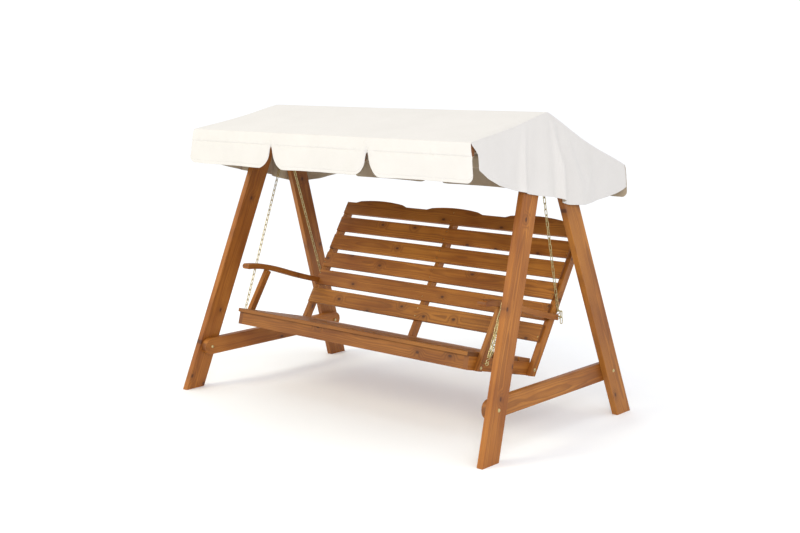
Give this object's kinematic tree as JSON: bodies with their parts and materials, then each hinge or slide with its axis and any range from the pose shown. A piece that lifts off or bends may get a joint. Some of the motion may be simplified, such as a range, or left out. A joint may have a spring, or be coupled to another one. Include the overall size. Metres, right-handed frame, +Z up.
{
  "type": "canopy swing bench",
  "caption": "Wooden garden swing bench with a slatted seat and back, hung on chains between two A-frames under a sloping fabric canopy with scalloped valances.",
  "frame": {"origin": "on the ground, midway between the front feet and the back of the canopy, halfway along the bench", "axes": "+X along the bench to the sitter's left seen from the front, which is the right side in the picture; +Y towards the bench's back; +Z up"},
  "size_m": [2.124, 1.3385, 1.586],
  "materials": {
    "stained_pine": "satin wood stain",
    "canvas": "plain weave",
    "yellow_zinc": "yellow zinc plate on steel",
    "galvanised_steel": "dull zinc plate"
  },
  "bodies": {
    "frame": {"apex_bolts": "yellow_zinc", "apex_nuts": "yellow_zinc", "back_roof_board": "stained_pine", "beam_eye_screws": "yellow_zinc", "canopy_cover": "canvas", "front_roof_board": "stained_pine", "left_beam_hanger": "galvanised_steel", "left_cross_rail": "stained_pine", "left_front_leg": "stained_pine", "left_front_rafter": "stained_pine", "left_rear_leg": "stained_pine", "left_rear_rafter": "stained_pine", "rail_bolts": "yellow_zinc", "rail_nuts": "yellow_zinc", "right_beam_hanger": "galvanised_steel", "right_cross_rail": "stained_pine", "right_front_leg": "stained_pine", "right_front_rafter": "stained_pine", "right_rear_leg": "stained_pine", "right_rear_rafter": "stained_pine", "roof_screws": "yellow_zinc", "top_beam": "stained_pine"},
    "bench": {"arm_eye_screws": "yellow_zinc", "arm_screws": "yellow_zinc", "back_slat_1": "stained_pine", "back_slat_2": "stained_pine", "back_slat_3": "stained_pine", "back_slat_4": "stained_pine", "back_slat_5": "stained_pine", "back_slat_6": "stained_pine", "bench_bolts": "yellow_zinc", "bench_nuts": "yellow_zinc", "centre_back_post": "stained_pine", "centre_bearer": "stained_pine", "front_rail": "stained_pine", "left_arm_post": "stained_pine", "left_armrest": "stained_pine", "left_back_post": "stained_pine", "left_front_chain": "yellow_zinc", "left_rear_chain": "yellow_zinc", "left_side_rail": "stained_pine", "right_arm_post": "stained_pine", "right_armrest": "stained_pine", "right_back_post": "stained_pine", "right_front_chain": "yellow_zinc", "right_front_chain_end": "yellow_zinc", "right_rear_chain": "yellow_zinc", "right_side_rail": "stained_pine", "s_hooks": "yellow_zinc", "seat_plank_1": "stained_pine", "seat_plank_2": "stained_pine", "seat_plank_3": "stained_pine", "seat_plank_4": "stained_pine", "seat_plank_5": "stained_pine", "seat_screws": "yellow_zinc", "shackles": "yellow_zinc", "slat_screws": "yellow_zinc"},
    "right_chain_end": {"right_rear_chain_end": "yellow_zinc"},
    "left_chain_end": {"left_rear_chain_end": "yellow_zinc"}
  },
  "joints": [
    {"name": "bench_swing", "type": "hinge", "parent": "frame", "child": "bench", "pos_m": [0, -0.0037, 1.395], "axis": [1, 0, 0], "range_deg": [-20, 20]},
    {"name": "right_chain_end_swing", "type": "hinge", "parent": "bench", "child": "right_chain_end", "pos_m": [0.84964, 0.26665, 0.5578], "axis": [1, 0, 0], "range_deg": [-3, 60]},
    {"name": "left_chain_end_swing", "type": "hinge", "parent": "bench", "child": "left_chain_end", "pos_m": [-0.84964, 0.26665, 0.5578], "axis": [1, 0, 0], "range_deg": [-3, 60]}
  ]
}
